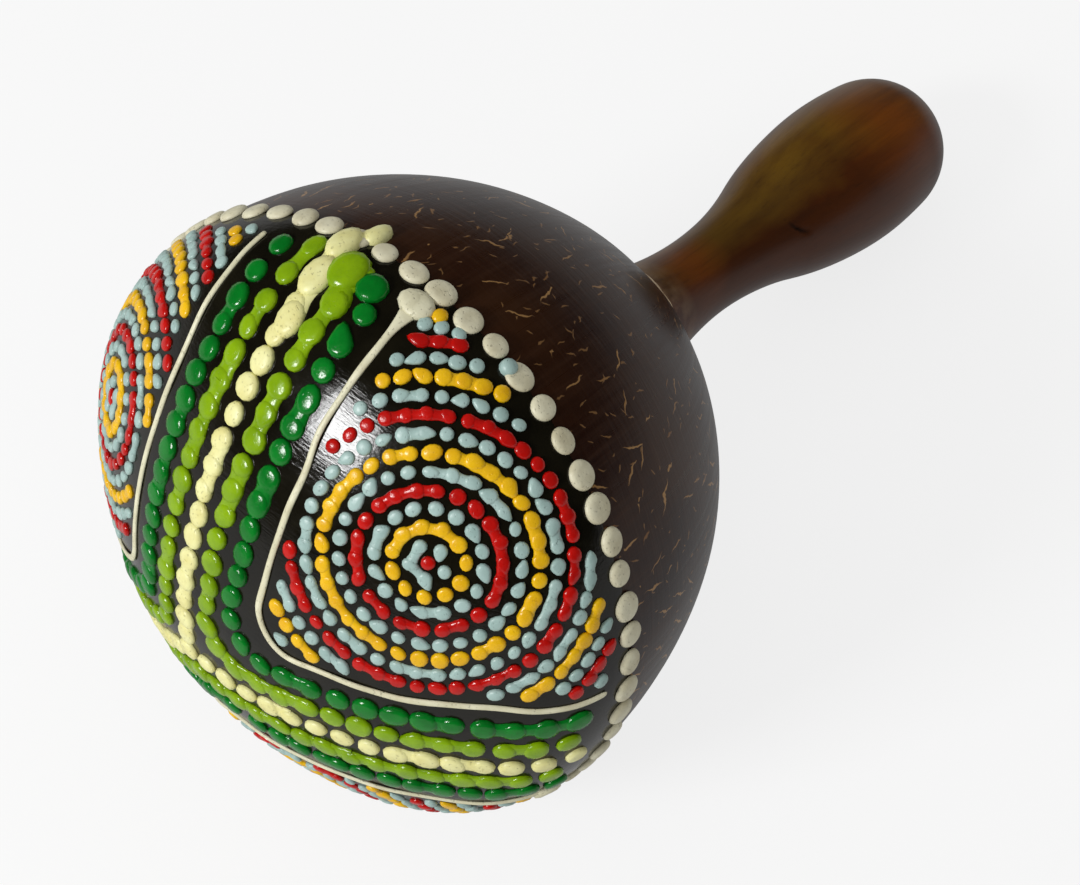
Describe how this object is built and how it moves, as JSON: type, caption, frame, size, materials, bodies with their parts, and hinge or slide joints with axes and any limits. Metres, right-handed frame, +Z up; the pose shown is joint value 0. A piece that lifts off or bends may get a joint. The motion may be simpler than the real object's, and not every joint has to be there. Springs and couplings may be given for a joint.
{
  "type": "coconut shell shaker",
  "caption": "Hand shaker: a hollow coconut shell with loose seeds inside, its front covered with raised paint dots, glued onto a turned wooden handle.",
  "frame": {"origin": "on the table, below the middle of the shaker as it lies on its side", "axes": "+Z up from the table, +X level and towards the handle's butt, which dips until it touches the table, +Y across"},
  "size_m": [0.1794, 0.1006, 0.0986],
  "materials": {
    "shell": "polished dark coconut shell with pale fibre flecks",
    "handle_wood": "stained and varnished turned wood",
    "glue": "dried wood glue",
    "black_coat": "brushed semi-gloss black paint",
    "border_white": "thick off-white paint",
    "outline_cream": "thick cream paint",
    "cream": "thick pale yellow paint",
    "lime": "thick lime green paint",
    "green": "thick dark green paint",
    "red": "thick red paint",
    "yellow": "thick yellow paint",
    "pale_blue": "thick pale blue paint",
    "seed": "dry seed coat"
  },
  "bodies": {
    "shaker": {"coconut_shell": "shell", "handle": "handle_wood", "glue_collar": "glue", "ground_coat": "black_coat", "border_dots": "border_white", "panel_outline_1": "outline_cream", "panel_outline_2": "outline_cream", "panel_outline_3": "outline_cream", "track_cream_1": "cream", "track_cream_2": "cream", "track_cream_3": "cream", "track_lime_1": "lime", "track_lime_2": "lime", "track_lime_3": "lime", "track_green_1": "green", "track_green_2": "green", "track_green_3": "green", "panel_red_1": "red", "panel_red_2": "red", "panel_red_3": "red", "panel_yellow_1": "yellow", "panel_yellow_2": "yellow", "panel_yellow_3": "yellow", "panel_blue_1": "pale_blue", "panel_blue_2": "pale_blue", "panel_blue_3": "pale_blue"},
    "seed_01": {"seed_01": "seed"},
    "seed_02": {"seed_02": "seed"},
    "seed_03": {"seed_03": "seed"},
    "seed_04": {"seed_04": "seed"},
    "seed_05": {"seed_05": "seed"},
    "seed_06": {"seed_06": "seed"},
    "seed_07": {"seed_07": "seed"},
    "seed_08": {"seed_08": "seed"},
    "seed_09": {"seed_09": "seed"},
    "seed_10": {"seed_10": "seed"},
    "seed_11": {"seed_11": "seed"},
    "seed_12": {"seed_12": "seed"},
    "seed_13": {"seed_13": "seed"},
    "seed_14": {"seed_14": "seed"},
    "seed_15": {"seed_15": "seed"},
    "seed_16": {"seed_16": "seed"},
    "seed_17": {"seed_17": "seed"},
    "seed_18": {"seed_18": "seed"},
    "seed_19": {"seed_19": "seed"}
  },
  "joints": [
    {"name": "seed_01_rattle", "type": "slide", "parent": "shaker", "child": "seed_01", "axis": [0, 0, 1], "range_m": [0, 0.0734]},
    {"name": "seed_02_rattle", "type": "slide", "parent": "shaker", "child": "seed_02", "axis": [0, 0, 1], "range_m": [0, 0.0773]},
    {"name": "seed_03_rattle", "type": "slide", "parent": "shaker", "child": "seed_03", "axis": [0, 0, 1], "range_m": [0, 0.0735]},
    {"name": "seed_04_rattle", "type": "slide", "parent": "shaker", "child": "seed_04", "axis": [0, 0, 1], "range_m": [0, 0.0719]},
    {"name": "seed_05_rattle", "type": "slide", "parent": "shaker", "child": "seed_05", "axis": [0, 0, 1], "range_m": [0, 0.0791]},
    {"name": "seed_06_rattle", "type": "slide", "parent": "shaker", "child": "seed_06", "axis": [0, 0, 1], "range_m": [0, 0.0791]},
    {"name": "seed_07_rattle", "type": "slide", "parent": "shaker", "child": "seed_07", "axis": [0, 0, 1], "range_m": [0, 0.0741]},
    {"name": "seed_08_rattle", "type": "slide", "parent": "shaker", "child": "seed_08", "axis": [0, 0, 1], "range_m": [0, 0.0676]},
    {"name": "seed_09_rattle", "type": "slide", "parent": "shaker", "child": "seed_09", "axis": [0, 0, 1], "range_m": [0, 0.0769]},
    {"name": "seed_10_rattle", "type": "slide", "parent": "shaker", "child": "seed_10", "axis": [0, 0, 1], "range_m": [0, 0.0813]},
    {"name": "seed_11_rattle", "type": "slide", "parent": "shaker", "child": "seed_11", "axis": [0, 0, 1], "range_m": [0, 0.0781]},
    {"name": "seed_12_rattle", "type": "slide", "parent": "shaker", "child": "seed_12", "axis": [0, 0, 1], "range_m": [0, 0.0719]},
    {"name": "seed_13_rattle", "type": "slide", "parent": "shaker", "child": "seed_13", "axis": [0, 0, 1], "range_m": [0, 0.0719]},
    {"name": "seed_14_rattle", "type": "slide", "parent": "shaker", "child": "seed_14", "axis": [0, 0, 1], "range_m": [0, 0.0791]},
    {"name": "seed_15_rattle", "type": "slide", "parent": "shaker", "child": "seed_15", "axis": [0, 0, 1], "range_m": [0, 0.0791]},
    {"name": "seed_16_rattle", "type": "slide", "parent": "shaker", "child": "seed_16", "axis": [0, 0, 1], "range_m": [0, 0.0741]},
    {"name": "seed_17_rattle", "type": "slide", "parent": "shaker", "child": "seed_17", "axis": [0, 0, 1], "range_m": [0, 0.0734]},
    {"name": "seed_18_rattle", "type": "slide", "parent": "shaker", "child": "seed_18", "axis": [0, 0, 1], "range_m": [0, 0.0773]},
    {"name": "seed_19_rattle", "type": "slide", "parent": "shaker", "child": "seed_19", "axis": [0, 0, 1], "range_m": [0, 0.0735]}
  ]
}
